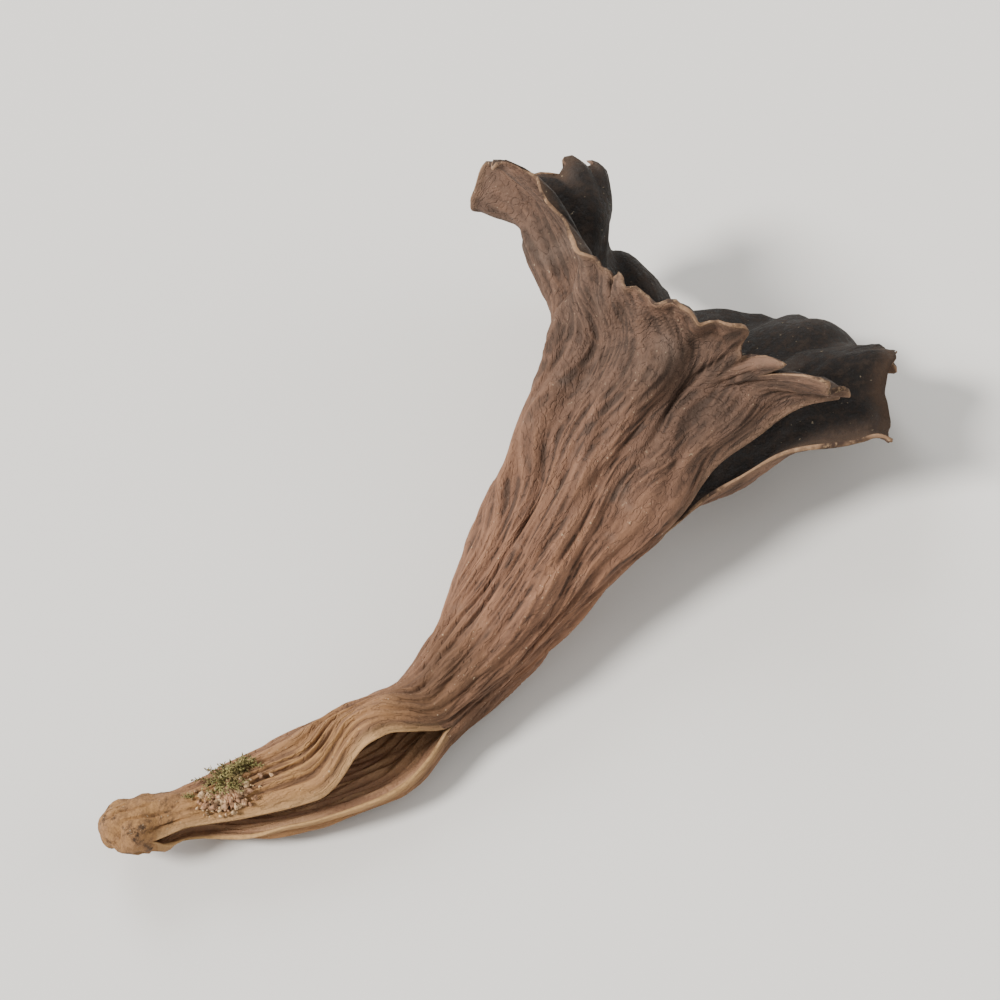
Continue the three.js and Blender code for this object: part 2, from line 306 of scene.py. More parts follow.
def dented(angle, w):
    """Slow dents, as a share of the ring's size: sines round the tube that wind up the wall."""
    total = 0
    for share, count, winding, phase in DENTS:
        total = total + share * np.sin(count * angle + winding * w + phase)
    return total


def crumpled(angle, w):
    """Crumples, as a share of the ring's size: bent cross waves, and waves that lean."""
    bent = np.sin(5 * angle + 2 * np.sin(2 * angle + 9 * w))
    bent = bent * np.sin(44 * w + 2 * np.sin(3 * angle + 1))
    leaning = np.sin(7 * angle - 21 * w + 1.6 * np.sin(17 * w + angle))
    return 0.030 * bent + 0.022 * leaning


def place(u, v):
    """The wall's middle surface at u and v, as a plain tube and with its folds, dents and crumples.

    Also gives each point's angle, its lay (the angle with the split left out, which the ribs follow, so that
    they run along the slit's edges), its height up the wall, its ring's size and the depth of its folds.
    """
    upper, lower = gap(v)
    seam = np.radians(SLIT_ANGLE + (TEAR_ANGLE - SLIT_ANGLE) * smooth(0.30, 0.62, v))
    angle = seam + lower + u * (TAU - upper - lower)
    lay = seam + u * TAU
    w = v * (1 + reach(angle, v))
    wide, high = ring(w, RING_WIDE), ring(w, RING_HIGH)
    size = np.maximum(np.sqrt(np.maximum(wide * high, 0)), 0.05)
    yaw, pitch = np.radians(ring(w, RING_YAW)), np.radians(ring(w, RING_PITCH))
    ahead = np.stack([np.cos(pitch) * np.cos(yaw), np.cos(pitch) * np.sin(yaw), np.sin(pitch)], -1)
    side = np.stack([-np.sin(yaw), np.cos(yaw), 0 * yaw], -1)
    up = np.cross(ahead, side)

    sunk = folded(angle, w, size)
    radial = -sunk + smooth(0.02, 0.3, w) * size * dented(angle, w)
    # The torn edges: one curls out, the other in, and a small flap stands up on the slit
    from_low, from_high = u * TAU * size, (1 - u) * TAU * size
    curl_low, curl_high = hill(from_low, 2.5), hill(from_high, 2.0)
    slit = smooth(0.06, 0.12, v) * (1 - smooth(0.27, 0.34, v))
    radial = radial + smooth(0.66, 1, v) * (curl_low - 0.75 * curl_high)
    radial = radial + slit * (0.25 * curl_low + 0.15 * curl_high)
    radial = radial + 0.55 * hill(w - 0.272, 0.016) * hill(from_high, 0.9)
    radial = radial + smooth(0.10, 0.35, w) * (1 - 0.4 * smooth(0.8, 1, w)) * size * crumpled(angle, w)

    centre = centre_line(w)

    def at(extra):
        """The ellipse's points, moved outward by extra."""
        across = (wide + extra * wide / size) * np.cos(angle)
        above = (high + extra * high / size) * np.sin(angle)
        return centre + across[..., None] * side + above[..., None] * up

    return at(0 * radial), at(radial), angle, lay, w, size, sunk


def waves(angle, w, v):
    """How far the lip moves along the plain tube's normal: rolls, waves and crinkles, growing to the rim."""
    h = 0 * angle
    for n, phase, size in ROLLS:
        h = h + size * smooth(0.84, 1.0, v) ** 2 * np.sin(n * angle + np.radians(phase))
    for n, phase, size, start in WAVES:
        bend = 1.3 * np.sin(angle + n)
        h = h + size * smooth(start, 1.02, w) * np.sin(n * angle + np.radians(phase) + bend)
    for n, phase, size, start in CRINKLES:
        bend = 1.5 * np.sin(3 * angle + n)
        h = h + size * smooth(start, 1.0, v) * np.sin(n * angle + np.radians(phase) + bend)
    h = h * (1 - CALM[0] * hill(turn(angle - np.radians(CALM[1])), CALM[2]))
    return h - PRESS[0] * smooth(0.78, 1.0, v) * hill(turn(angle - np.radians(PRESS[1])), PRESS[2])


def ribs(angle, w):
    """The broad long ribs of the solid, which wander and fork: two sets of sines, wandering in phase."""
    wander = 1.7 * np.sin(3 * angle + 7 * w) + 1.2 * np.sin(5 * angle - 16 * w + 2)
    wander = wander + 0.8 * np.sin(2 * angle + 29 * w)
    first = np.sin(17 * angle + wander)
    second = np.sin(11 * angle - 1.6 * wander + 6 * w + 1)
    strength = smooth(0.05, 0.16, w) * (1 - 0.45 * smooth(0.80, 1.0, w))
    return strength * (0.11 * first + 0.07 * second - 0.05 * np.abs(first))


def net(angle, w):
    """The fine net of ribs round long pits, from 0 on a rib to 1 in a pit.

    A rib runs where random hills, stretched along the wall, cross zero, so ribs fork and join. As the tube
    widens, nets with more ribs take over, which keeps the ribs about half a millimetre apart.
    """
    drift = angle + 0.14 * hills(angle, w, 6, 9, 3) + 0.045 * hills(angle, w, 14, 20, 4)
    stem = np.abs(hills(drift, w, 30, 16, 11, 0.9))
    funnel = np.abs(hills(drift, w, 66, 21, 12, 0.9))
    lip = np.abs(hills(drift, w, 100, 26, 13, 0.9))
    up, out = smooth(0.30, 0.46, w), smooth(0.64, 0.84, w)
    far = stem * (1 - up) + funnel * up * (1 - out) + lip * out
    cross = np.abs(hills(drift, w, 75, 44, 14))
    return smooth(0.12, 1.05, far) * (0.45 + 0.55 * smooth(0.05, 0.45, cross))


def creases(angle, w):
    """Cross creases, dents and small lumps where the drying flesh shrank: bent sines and random hills."""
    bend = 2.2 * np.sin(4 * angle + 11 * w) + 1.3 * np.sin(9 * angle - 23 * w + 1)
    short = np.sin(97 * w + 2.4 * bend) * np.sin(13 * angle + 2.5 * np.sin(37 * w) + bend)
    lumps = hills(angle, w, 26, 44, 21) + 0.6 * hills(angle, w, 53, 90, 22)
    dents = smooth(0.25, 0.9, hills(angle, w, 22, 30, 23))
    return smooth(0.06, 0.14, w) * (0.014 * short + 0.024 * lumps - 0.06 * dents)


def knobs(angle, w):
    """Random knobs and dips on the swollen foot. Its cracks run where one set of hills crosses zero."""
    on_foot = smooth(0.002, 0.016, w) * (1 - smooth(0.055, 0.11, w))
    big, small = hills(angle, w, 7, 58, 31), hills(angle, w, 15, 120, 32)
    dips = smooth(0.3, 0.8, hills(angle, w, 9, 80, 33))
    cracks = 1 - smooth(0.0, 0.22, np.abs(hills(angle, w, 13, 60, 34)))
    return on_foot * (0.19 * big + 0.12 * small - 0.15 * dips - 0.14 * cracks - 0.08)


def crust(angle, w):
    """Where a pale crust clings to the stem, from 0 to 1: an ellipse with a ragged outline."""
    across, along = turn(angle - np.radians(98)) / 0.62, (w - 0.122) / 0.040
    ragged = 0.5 * hills(angle, w, 8, 60, 41) + 0.45 * hills(angle, w, 17, 110, 42)
    return smooth(0.15, 0.95, 1 - np.sqrt(across ** 2 + along ** 2) + ragged)


def crust_lumps(angle, w):
    """How high the crust stands: random lumps of two sizes."""
    return 0.07 + 0.08 * hills(angle, w, 15, 84, 43) + 0.05 * hills(angle, w, 31, 140, 44)


def wrinkles(angle, w):
    """How high the lining's wrinkles stand: long hills of either sign, with small dints on them."""
    return 0.26 * np.abs(hills(angle, w, 40, 12, 51)) + 0.09 * hills(angle, w, 52, 38, 52)


def steps(grid, axis):
    """The way from each point of a grid to the next one along an axis."""
    return np.gradient(grid, axis=axis)


def normals(grid):
    """The directions away from a grid of points: across both of its ways."""
    return unit(np.cross(steps(grid, 0), steps(grid, 1)))


def offset(points, normal, half, sign):
    """How far a face lies from the middle surface: half the wall, and less where the wall bends sharply.

    There it is at most 0.7 of the bend's radius, which eases off over the points beside it.
    """
    bend = np.full(points.shape[:2], 1e-6)
    for axis, span in ((0, 4), (1, 1)):
        last = points.shape[axis] - 1
        before = np.clip(np.arange(last + 1) - span, 0, last)
        after = np.clip(np.arange(last + 1) + span, 0, last)
        dp = np.take(points, after, axis) - np.take(points, before, axis)
        dn = np.take(normal, after, axis) - np.take(normal, before, axis)
        k = (dp * dn).sum(-1) / np.maximum((dp * dp).sum(-1), 0.01)
        bend = np.maximum(bend, -sign * k)
    h = np.minimum(half, 0.7 / bend)
    for _ in range(2):
        least = h.copy()
        least[1:] = np.minimum(least[1:], h[:-1])
        least[:-1] = np.minimum(least[:-1], h[1:])
        least[:, 1:] = np.minimum(least[:, 1:], h[:, :-1])
        least[:, :-1] = np.minimum(least[:, :-1], h[:, 1:])
        h = 0.5 * h + 0.5 * least
    return h


def settled(p):
    """Points turned to the rest pose and moved into the part's frame.

    Flesh near the surface it lies on is squeezed: its height falls off as an exponential.
    """
    a, b = np.radians(ROLL), np.radians(PITCH)
    x, y, z = p[..., 0], p[..., 1], p[..., 2]
    y, z = y * np.cos(a) - z * np.sin(a), y * np.sin(a) + z * np.cos(a)
    x, z = x * np.cos(b) + z * np.sin(b), -x * np.sin(b) + z * np.cos(b)
    z = z + MOVE[2]
    z = np.where(z < SQUEEZE, SQUEEZE * np.exp(np.minimum(z / SQUEEZE - 1, 0)), z)
    return np.stack([x + MOVE[0], y + MOVE[1], z], -1)


def add_mesh(name, points, faces, attributes=None, slots=None):
    """A mesh object from arrays: points in millimetres, and faces as one array or more of equal corners.

    attributes are values at the points, and slots are each face's material.
    """
    mesh = bpy.data.meshes.new(name)
    sizes = np.concatenate([np.full(len(f), f.shape[1]) for f in faces])
    flat = np.concatenate([f.ravel() for f in faces])
    mesh.vertices.add(len(points))
    mesh.vertices.foreach_set("co", (points * MM).astype(np.float32).ravel())
    mesh.loops.add(len(flat))
    mesh.loops.foreach_set("vertex_index", flat.astype(np.int32))
    mesh.polygons.add(len(sizes))
    mesh.polygons.foreach_set("loop_start", (np.cumsum(sizes) - sizes).astype(np.int32))
    mesh.polygons.foreach_set("use_smooth", np.ones(len(sizes), bool))
    if slots is not None:
        mesh.polygons.foreach_set("material_index", slots.astype(np.int32))
    for key, values in (attributes or {}).items():
        kind, field = ("FLOAT_VECTOR", "vector") if values.ndim == 2 else ("FLOAT", "value")
        layer = mesh.attributes.new(key, kind, "POINT")
        layer.data.foreach_set(field, values.astype(np.float32).ravel())
    mesh.update()
    mesh.validate()
    piece = bpy.data.objects.new(name, mesh)
    bpy.context.scene.collection.objects.link(piece)
    return piece


def build_mushroom():
    """The whole mushroom as one closed mesh: both faces, and the broken edges between them.

    Each face is the middle surface moved along its normal by half the wall and by its own relief. Quads join
    the points of a face, and triangles join the fine edges to the lining's coarser rows.
    """
    foot = FOOT_END * (np.arange(FOOT_ROWS) / FOOT_ROWS) ** 1.4
    tube = FOOT_END + (1 - FOOT_END) * np.arange(TUBE_ROWS + 1) / TUBE_ROWS
    heights = np.concatenate([foot, tube])
    u, v = np.meshgrid(np.linspace(0, 1, AROUND + 1), heights, indexing="ij")
    plain, points, angle, lay, w, size, sunk = place(u, v)
    plain_normal = normals(plain)
    middle = points + plain_normal * waves(angle, w, v)[..., None]
    # Beside the split of the stem and lower funnel, the plain tube's normals are taken
    normal = normals(middle)
    from_low, from_high = u * TAU * size, (1 - u) * TAU * size
    near = (hill(from_low, 0.9) + hill(from_high, 0.9)) * (1 - smooth(0.66, 0.8, v))
    normal = normal + (plain_normal - normal) * np.clip(near, 0, 1)[..., None]
    # The split is shut in some rows. A row that the lining lacks is shut if both beside it are.
    upper, lower = gap(heights)
    shut = (upper + lower) < LEAST_GAP
    shut[1::2] = shut[:-1:2] & shut[2::2]
    normal[0, shut] = normal[0, shut] + normal[-1, shut]
    normal[-1, shut] = normal[0, shut]
    normal = unit(normal)

    # Flesh thins towards the lip and towards the edges of the split
    to_lip = np.linalg.norm(middle - middle[:, -1:], axis=-1)
    gapes = smooth(0, 0.15, (upper + lower))[None, :]
    to_split = np.minimum(from_low, from_high) + 3 * (1 - gapes)
    to_edge = np.minimum(to_lip, to_split)
    half = WALL / 2 * (EDGE_SHARE + (1 - EDGE_SHARE) * smooth(0, EDGE_WIDTH, to_edge))
    out = offset(middle, normal, half, 1)
    inn = offset(middle, normal, half, -1)

    # The relief is lower at the edges and in sharp bends
    calm = np.clip(out / half, 0, 1) ** 2 * (0.35 + 0.65 * smooth(0, 1.0, to_edge))
    broad = ribs(lay, w)
    pit = net(lay, w) * smooth(0.05, 0.13, w) * (1 - 0.35 * smooth(0.88, 1.0, w))
    clings = crust(lay, w)
    raised = RIB_SHARE * broad + creases(lay, w) - PIT_DEPTH * pit * (1 - 0.5 * clings)
    raised = raised + clings * crust_lumps(lay, w)
    outer = middle + normal * (out + raised * calm + knobs(lay, w))[..., None]
    wrinkle = wrinkles(lay, w)
    inner = middle - normal * (inn + wrinkle * calm * smooth(0.05, 0.12, w))[..., None]

    # Points of the rounded edges: a little past the wall's middle, half way between its faces
    lip = middle[:, -1] + LIP_BULGE * unit(steps(middle, 1)[:, -1])
    across = unit(steps(middle, 0))
    bulge = (SPLIT_BULGE * smooth(0, 0.2, upper + lower))[:, None]
    split_low = middle[0] - bulge * across[0]
    split_high = middle[-1] + bulge * across[-1]

    # Numbers of the points. Where the split is shut, and at each pole, points of one place are one point.
    columns, count = outer.shape[:2]
    inner = inner[::2, HOLLOW_ROW::2]
    inner[:, 0] = middle[:-1, HOLLOW_ROW].mean(0)
    parts = [outer.reshape(-1, 3), inner.reshape(-1, 3), lip, split_low, split_high]
    everything = np.concatenate(parts)
    starts = np.cumsum([0] + [len(p) for p in parts])
    ids_out = np.arange(starts[1]).reshape(columns, count)
    ids_in = np.arange(starts[1], starts[2]).reshape(inner.shape[:2])
    ids_lip, ids_low, ids_high = (np.arange(starts[k], starts[k + 1]) for k in (2, 3, 4))
    ids_out[-1, shut] = ids_out[0, shut]
    ids_in[-1, shut[HOLLOW_ROW::2]] = ids_in[0, shut[HOLLOW_ROW::2]]
    ids_out[:, 0] = ids_out[0, 0]
    ids_in[:, 0] = ids_in[0, 0]

    # Faces, with their slots: 0 the outer skin, 1 the lining, 2 the broken edge
    faces, slots = [], []

    def patch(corners, slot):
        """Faces whose corners are given as one array for each corner."""
        faces.append(np.stack([c.ravel() for c in corners], 1))
        slots.append(np.full(corners[0].size, slot))

    def zipped(fine, coarse, slot):
        """Three triangles between each step of a coarse row and the fine row's two steps beside it."""
        left, middle_ids, right = fine[:-1:2], fine[1::2], fine[2::2]
        patch((left, middle_ids, coarse[:-1]), slot)
        patch((middle_ids, coarse[1:], coarse[:-1]), slot)
        patch((middle_ids, right, coarse[1:]), slot)

    def pole(ids):
        """The pole's point, once for each face that meets there."""
        return np.full(len(ids) - 1, ids[0, 0])

    patch((pole(ids_out), ids_out[1:, 1], ids_out[:-1, 1]), 0)
    o = ids_out[:, 1:]
    patch((o[:-1, :-1], o[1:, :-1], o[1:, 1:], o[:-1, 1:]), 0)
    patch((pole(ids_in), ids_in[:-1, 1], ids_in[1:, 1]), 1)
    i = ids_in[:, 1:]
    patch((i[:-1, :-1], i[:-1, 1:], i[1:, 1:], i[1:, :-1]), 1)
    patch((ids_out[:-1, -1], ids_out[1:, -1], ids_lip[1:], ids_lip[:-1]), 2)
    zipped(ids_lip, ids_in[:, -1], 2)
    # The split's edges run where either end of a row's step gapes, and meet at the shut rows
    ids_low[-1], ids_high[-1] = ids_lip[0], ids_lip[-1]
    open_steps = np.where(~(shut[:-1] & shut[1:]))[0]
    for run in np.split(open_steps, np.where(np.diff(open_steps) > 1)[0] + 1):
        rows = np.append(run, run[-1] + 1)
        for end in (rows[0], rows[-1]):
            if end < count - 1:
                ids_high[end] = ids_low[end]
        lined = (rows[::2] - HOLLOW_ROW) // 2
        a, b = rows[:-1], rows[1:]
        patch((ids_out[0, a], ids_out[0, b], ids_low[b], ids_low[a]), 2)
        zipped(ids_low[rows], ids_in[0, lined], 2)
        patch((ids_out[-1, b], ids_out[-1, a], ids_high[a], ids_high[b]), 2)
        zipped(ids_high[rows[::-1]], ids_in[-1, lined[::-1]], 2)

    def spread(values, inside=None):
        """Values of a grid at every point: both faces, the lip and both edges of the split."""
        inside = values if inside is None else inside
        shape = (-1, 3) if values.ndim == 3 else (-1,)
        chosen = inside[::2, HOLLOW_ROW::2]
        return np.concatenate([
            values.reshape(shape), chosen.reshape(shape), values[:, -1], values[0], values[-1],
        ])

    # The skin's grain: the wall as a straight tube, in millimetres, widening half as fast as it does
    tube_radius = 1.2 + 0.5 * size
    grain = np.stack([tube_radius * np.cos(lay), tube_radius * np.sin(lay), v * LENGTH], -1)
    # The stem is tan on its upper side from the foot up, and the strip below the slit is golden brown
    upper_side = hill(turn(lay - np.radians(105)), 1.15)
    tan = (1 - smooth(0.02, 0.085, v)) + upper_side * (1 - smooth(0.18, 0.43, v))
    rust = hill(from_low, 1.5) * smooth(0.05, 0.10, v) * (1 - smooth(0.26, 0.36, v))
    # The relief value is the broad ribs less the folds' depth, and the skin's colour uses it to darken the
    # folds as painted shade
    attributes = {
        "pit": spread(pit, np.clip(wrinkle / WRINKLE_FULL, 0, 1)),
        "relief": spread(broad / 0.18 - 0.8 * sunk),
        "grain": spread(grain),
        "tan": spread(np.clip(tan, 0, 1)),
        "rust": spread(rust),
        "crust": spread(np.clip(clings, 0, 1)),
        "edge": spread(to_edge),
        "height": spread(v),
    }
    # Only the points that a face uses are kept
    used, flat = np.unique(np.concatenate([f.ravel() for f in faces]), return_inverse=True)
    renamed, start = [], 0
    for f in faces:
        renamed.append(flat[start:start + f.size].reshape(f.shape))
        start += f.size
    attributes = {key: values[used] for key, values in attributes.items()}
    skin = settled(everything[used])
    return add_mesh("black_trumpet", skin, renamed, attributes=attributes, slots=np.concatenate(slots))


def on_stem(v, lay):
    """Points of the stem's middle surface, settled, and the directions outward there."""
    point = place(((lay - np.radians(SLIT_ANGLE)) / TAU) % 1, v)[1]
    outward = unit(point - centre_line(v))
    root = settled(point)
    return root, unit(settled(point + outward) - root)


def build_moss():
    """A scrap of dry moss caught on the stem above the foot.

    Each shoot is a thin stalk with five sides. It starts on the skin, heads off at random and bends as a
    parabola. Pointed leaflets stand round it, each turned by the golden angle from the one before.
    """
    chance = np.random.default_rng(7)
    shoots, stations, sides, leaves = 44, 8, 5, 15
    v = chance.normal(0.138, 0.017, shoots)
    lay = np.radians(chance.normal(66, 12, shoots))
    root, outward = on_stem(v, lay)
    root = root + 0.2 * outward
    level = chance.normal(size=(shoots, 3))
    level = unit(level - (level * outward).sum(-1, keepdims=True) * outward)
    heading = unit(level + outward * chance.uniform(0.0, 0.55, (shoots, 1)))
    bend = np.cross(heading, outward) * chance.uniform(-0.5, 0.5, (shoots, 1))
    length = chance.uniform(0.5, 1.25, (shoots, 1, 1))

    def path(t):
        """Points of the shoots' middle lines, from 0 at the root to 1 at the tip."""
        return root[:, None] + length * (
            heading[:, None] * t + bend[:, None] * t * t + outward[:, None] * 0.25 * t * (1 - t)
        )

    def frames(t):
        """Directions on the middle lines: along them, to their side and over them."""
        along = unit(path(t + 0.01) - path(t - 0.01))
        side = unit(np.cross(along, outward[:, None]))
        return along, side, np.cross(side, along)

    t = np.linspace(0, 1, stations)[None, :, None]
    along, side, top = frames(t)
    radius = 0.055 * (1 - 0.75 * t)
    a = np.arange(sides) / sides * TAU
    stalk = path(t)[:, :, None] + radius[..., None] * (
        np.cos(a)[:, None] * side[:, :, None] + np.sin(a)[:, None] * top[:, :, None]
    )
    ids = np.arange(shoots * stations * sides).reshape(shoots, stations, sides)
    after = np.roll(ids, -1, axis=2)
    quads = np.stack([ids[:, :-1], after[:, :-1], after[:, 1:], ids[:, 1:]], -1).reshape(-1, 4)
    fan = range(1, sides - 1)
    ends = np.concatenate(
        [np.stack([ids[:, 0, 0], ids[:, 0, k + 1], ids[:, 0, k]], -1) for k in fan]
        + [np.stack([ids[:, -1, 0], ids[:, -1, k], ids[:, -1, k + 1]], -1) for k in fan]
    )

    # Each leaflet is a thin closed blade of four points: its foot, both its sides and its tip
    t = (0.08 + 0.92 * np.arange(leaves) / (leaves - 1))[None, :, None]
    foot = path(t)
    along, side, top = frames(t)
    a = (np.arange(leaves) * GOLDEN_ANGLE)[None, :, None] + np.arange(shoots)[:, None, None]
    away = np.cos(a) * side + np.sin(a) * top
    flat = np.cross(along, away)
    size = chance.uniform(0.26, 0.40, (shoots, leaves, 1)) * (1 - 0.35 * t)
    points_to = unit(along * chance.uniform(0.4, 1.1, (shoots, leaves, 1)) + away)
    tip = foot + size * points_to
    left = foot + 0.4 * size * points_to + 0.20 * size * flat + 0.05 * along
    right = foot + 0.4 * size * points_to - 0.20 * size * flat + 0.05 * along
    leaf = np.stack([foot, left, right, tip], 2).reshape(-1, 4, 3)
    base = np.cross(leaf[:, 1] - leaf[:, 0], leaf[:, 2] - leaf[:, 0])
    volume = (base * (leaf[:, 3] - leaf[:, 0])).sum(-1)
    leaf[volume < 0] = leaf[volume < 0][:, [0, 2, 1, 3]]
    first = ids.size + 4 * np.arange(len(leaf))[:, None]
    blades = np.concatenate([first + np.array(c) for c in ((0, 2, 1), (0, 1, 3), (1, 2, 3), (2, 0, 3))])
    fade = np.concatenate([np.repeat(0.3, ids.size), np.repeat(chance.uniform(0, 1, len(leaf)), 4)])
    points = np.concatenate([stalk.reshape(-1, 3), leaf.reshape(-1, 3)])
    return add_mesh("moss_scrap", points, [quads, ends, blades], attributes={"fade": fade})


def build_crumbs():
    """Pale crumbs of earth and dried threads, stuck on the stem beside the moss.

    Each crumb is a ball on a small grid of meridians. Three random sine waves through space swell and dint
    it, and it is longer one way than the others.
    """
    chance = np.random.default_rng(11)
    crumbs, meridians, rows = 320, 7, 6
    v = chance.normal(0.121, 0.013, crumbs)
    lay = np.radians(np.clip(chance.normal(100, 14, crumbs), 62, 134))
    root, outward = on_stem(v, lay)
    radius = 0.045 + 0.14 * chance.uniform(0, 1, (crumbs, 1)) ** 2.6
    a = np.arange(meridians) / meridians * TAU
    b = (np.pi * np.arange(1, rows - 1) / (rows - 1))[:, None]
    rings = np.stack([np.sin(b) * np.cos(a), np.sin(b) * np.sin(a), np.cos(b) + 0 * a], -1)
    ball = np.concatenate([[[0, 0, 1.0]], rings.reshape(-1, 3), [[0, 0, -1.0]]])
    heading = chance.normal(0, 2.6, (crumbs, 3, 3))
    phase = chance.uniform(0, TAU, (crumbs, 1, 3))
    swell = np.sin(ball @ heading.transpose(0, 2, 1) + phase).sum(-1)
    lengths = chance.uniform(0.65, 1.35, (crumbs, 1, 3))
    shape = ball * lengths * (1 + 0.24 * swell[..., None]) * radius[:, None]
    points = (root + outward * (0.25 + 0.15 * radius))[:, None] + shape

    first = (np.arange(crumbs) * len(ball))[:, None, None]
    ids = first + 1 + np.arange((rows - 2) * meridians).reshape(rows - 2, meridians)
    after = np.roll(ids, -1, axis=2)
    quads = np.stack([ids[:, :-1], ids[:, 1:], after[:, 1:], after[:, :-1]], -1).reshape(-1, 4)
    top = np.broadcast_to(first[:, :, 0], ids[:, 0].shape)
    caps = np.concatenate([
        np.stack([top, ids[:, 0], after[:, 0]], -1).reshape(-1, 3),
        np.stack([top + len(ball) - 1, after[:, -1], ids[:, -1]], -1).reshape(-1, 3),
    ])
    fade = np.repeat(chance.uniform(0, 1, crumbs), len(ball))
    return add_mesh("stem_crumbs", points.reshape(-1, 3), [quads, caps], attributes={"fade": fade})


# Colours, as sRGB hex
RIB_CREST = "87624a"
RIB_FLANK = "6e4f3d"
RIB_PIT = "48352a"
LIP_SHADE = "5a473c"
LIP_PIT = "3d3028"
STREAK_BROWN = "573f31"
ELBOW_BROWN = "4f3929"
BLOOM_GREY = "86756a"
STEM_TAN = "a27a4c"
STEM_SHADE = "6d4f36"
STEM_RUST = "8f683e"
CRUST_PALE = "b59a7a"
CRUST_BROWN = "8a6a50"
FOOT_FELT = "906b48"
SOIL_DARK = "3a2b20"
INSIDE_BLACK = "15100d"
INSIDE_SCURF = "312822"
# Grey of a painted highlight on the lining's wrinkles
INSIDE_WRINKLE_HIGHLIGHT = "493d35"
INSIDE_STEM = "ae8967"
INSIDE_STREAK = "916d53"
INSIDE_RIM = "523e2f"
INSIDE_DEEP = "0f0b09"
EDGE_PALE = "866a52"
EDGE_DARK = "3a2c24"
EDGE_BRIGHT = "a88b6b"
# Golden broken flesh along the slit, partly a painted highlight
SLIT_GOLD_AND_HIGHLIGHT = "bb9565"
CRUMB_PALE = "c9b697"
CRUMB_CREAM = "cbab84"
CRUMB_ROSE = "a47d60"
CRUMB_EARTH = "513b28"
MOSS_GREEN = "757040"
MOSS_STRAW = "968957"
MOSS_BROWN = "5f4d2f"
FLOOR_PALE = "dcdad6"
SKY_WHITE = "f6f4f1"


def linear(code):
    """An sRGB hex colour as linear values."""
    parts = [int(code[k:k + 2], 16) / 255 for k in (0, 2, 4)]
    parts = [c / 12.92 if c <= 0.04045 else ((c + 0.055) / 1.055) ** 2.4 for c in parts]
    return (*parts, 1.0)


class Shader:
    """A material's nodes, with one short call for each kind."""

    def __init__(self, name):
        """A new material with its surface node."""
        self.material = bpy.data.materials.new(name)
        self.material.use_nodes = True
        self.tree = self.material.node_tree
        self.surface = self.tree.nodes["Principled BSDF"]

    def feed(self, socket, value):
        """Links another node's output to a socket, or sets the socket to a plain value."""
        if isinstance(value, bpy.types.NodeSocket):
            self.tree.links.new(value, socket)
        else:
            socket.default_value = value

    def node(self, kind, inputs=None, **settings):
        """A new node with its settings and inputs."""
        made = self.tree.nodes.new(kind)
        for key, value in settings.items():
            setattr(made, key, value)
        for key, value in (inputs or {}).items():
            self.feed(made.inputs[key], value)
        return made

    def attribute(self, name, output="Fac"):
        """A value that the mesh has at its points."""
        return self.node("ShaderNodeAttribute", attribute_name=name).outputs[output]

    def math(self, operation, a, b=0.0):
        """Two values put together by an operation."""
        return self.node("ShaderNodeMath", {0: a, 1: b}, operation=operation).outputs[0]

    def times(self, a, b):
        """The product of two values."""
        return self.math("MULTIPLY", a, b)

    def plus(self, a, b):
        """The sum of two values."""
        return self.math("ADD", a, b)

    def minus(self, a, b):
        """The first value less the second."""
        return self.math("SUBTRACT", a, b)

    def span(self, value, low, high, to_low=0.0, to_high=1.0):
        """to_low where value is up to low, to_high where it is past high, and a smooth step between."""
        made = self.node(
            "ShaderNodeMapRange",
            {"Value": value, "From Min": low, "From Max": high, "To Min": to_low, "To Max": to_high},
            interpolation_type="SMOOTHSTEP",
        )
        return made.outputs["Result"]

    def mix(self, share, a, b):
        """Colour a with a share of colour b mixed in. Each is a node's output or a hex colour."""
        made = self.node("ShaderNodeMix", data_type="RGBA", blend_type="MIX")
        self.feed(made.inputs["Factor"], share)
        self.feed(made.inputs["A"], linear(a) if isinstance(a, str) else a)
        self.feed(made.inputs["B"], linear(b) if isinstance(b, str) else b)
        return made.outputs["Result"]

    def noise(self, vector, scale, detail, rough):
        """Random noise about 0.5 on a vector, with scale patches to each unit of it."""
        inputs = {"Vector": vector, "Scale": scale, "Detail": detail, "Roughness": rough}
        return self.node("ShaderNodeTexNoise", inputs).outputs["Fac"]

    def patches(self, size_mm, detail, rough):
        """Noise in patches about size_mm across, fixed to the piece."""
        spot = self.node("ShaderNodeTexCoord").outputs["Object"]
        return self.noise(spot, MM_PER_METRE / size_mm, detail, rough)

    def fibres(self, size_mm, stretch, detail, rough):
        """Noise in streaks about size_mm across and stretch times as long, which follow the skin's grain."""
        lying = self.node(
            "ShaderNodeVectorMath",
            {0: self.attribute("grain", "Vector"), 1: (1, 1, 1 / stretch)},
            operation="MULTIPLY",
        )
        return self.noise(lying.outputs[0], 1.0 / size_mm, detail, rough)

    def bump(self, height, distance_mm, strength, normal=None):
        """The surface's direction, as if height raised it by up to distance_mm, on top of a former bump."""
        inputs = {"Height": height, "Distance": distance_mm * MM, "Strength": strength}
        if normal is not None:
            inputs["Normal"] = normal
        return self.node("ShaderNodeBump", inputs).outputs["Normal"]

    def finish(self, colour, roughness, specular=None, normal=None):
        """The material, with its colour, roughness, shine and bumps set."""
        self.feed(self.surface.inputs["Base Color"], colour)
        self.feed(self.surface.inputs["Roughness"], roughness)
        if specular is not None:
            self.feed(self.surface.inputs["Specular IOR Level"], specular)
        if normal is not None:
            self.feed(self.surface.inputs["Normal"], normal)
        return self.material


